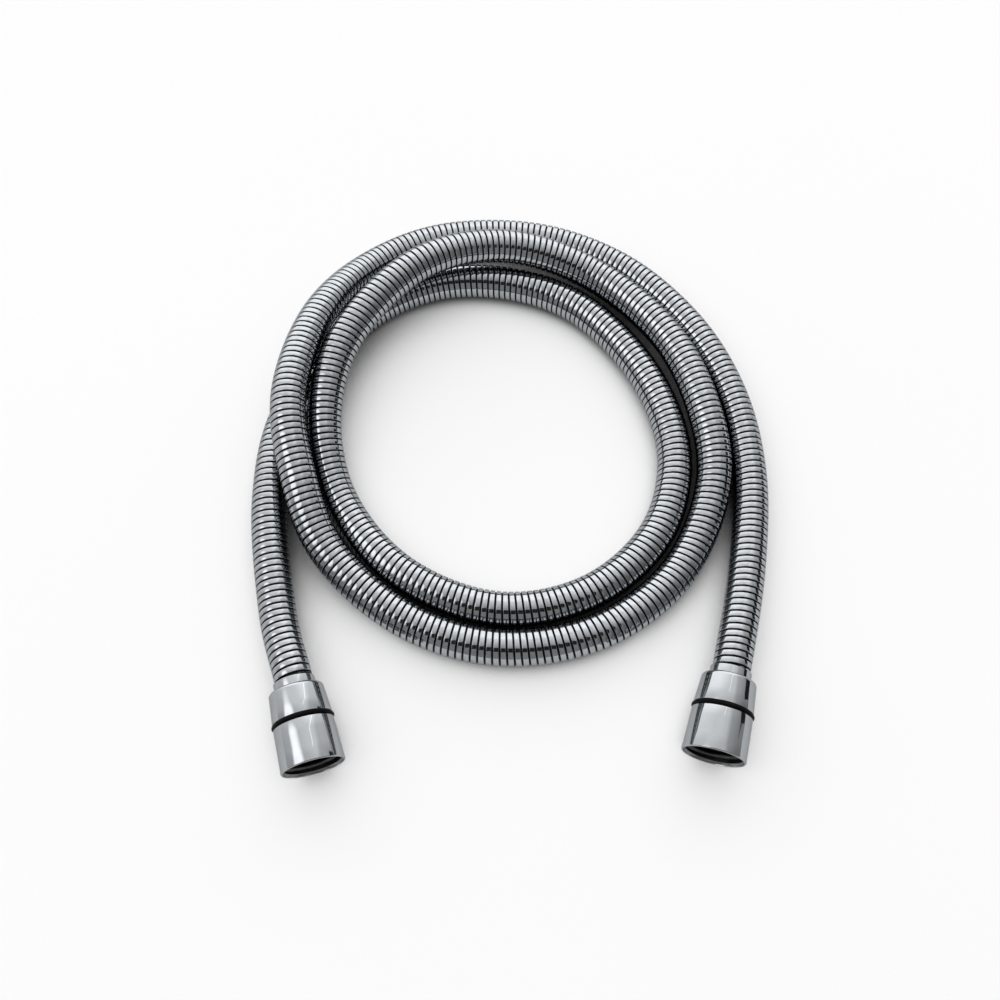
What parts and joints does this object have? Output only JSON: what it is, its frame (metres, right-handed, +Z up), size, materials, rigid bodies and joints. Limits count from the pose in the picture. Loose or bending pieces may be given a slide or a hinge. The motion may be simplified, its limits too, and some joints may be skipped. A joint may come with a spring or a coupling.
{
  "type": "shower hose",
  "caption": "Extendable chrome spiral shower hose lying in loose loops, with a swivelling conical coupling nut on each end.",
  "frame": {"origin": "on the surface that the hose lies on, under the middle of the coil's outline", "axes": "+Z up from that surface; both nuts' mouths point roughly towards -Y, the inlet end is on the -X side and the outlet end on the +X side; the coil is longest along Y"},
  "size_m": [0.2094, 0.2509, 0.0318],
  "materials": {
    "chrome": "polished chrome plate on brass",
    "strip_chrome": "chrome-plated interlocked strip, polished",
    "black_rubber": "satin black rubber",
    "liner_rubber": "matt black elastic rubber",
    "brass": "machined brass",
    "white_plastic": "moulded acetal, natural white",
    "crimp_steel": "thin pressed steel"
  },
  "bodies": {
    "hose": {"spiral_hose": "strip_chrome", "inner_liner": "liner_rubber", "inlet_sealing_washer": "black_rubber", "inlet_hose_nipple": "brass", "inlet_slip_ring": "white_plastic", "inlet_end_sleeve": "chrome", "inlet_crimp_sleeve": "crimp_steel", "outlet_sealing_washer": "black_rubber", "outlet_hose_nipple": "brass", "outlet_slip_ring": "white_plastic", "outlet_end_sleeve": "chrome", "outlet_crimp_sleeve": "crimp_steel"},
    "inlet_nut": {"inlet_coupling_nut": "chrome", "inlet_grip_ring": "black_rubber"},
    "outlet_nut": {"outlet_coupling_nut": "chrome", "outlet_grip_ring": "black_rubber"}
  },
  "joints": [
    {"name": "inlet_nut_swivel", "type": "hinge", "parent": "hose", "child": "inlet_nut", "pos_m": [-0.0713, -0.1224, 0.01185], "axis": [0.289, -0.9573, 0], "continuous": true},
    {"name": "outlet_nut_swivel", "type": "hinge", "parent": "hose", "child": "outlet_nut", "pos_m": [0.0733, -0.1186, 0.01185], "axis": [-0.2773, -0.9608, 0], "continuous": true}
  ]
}
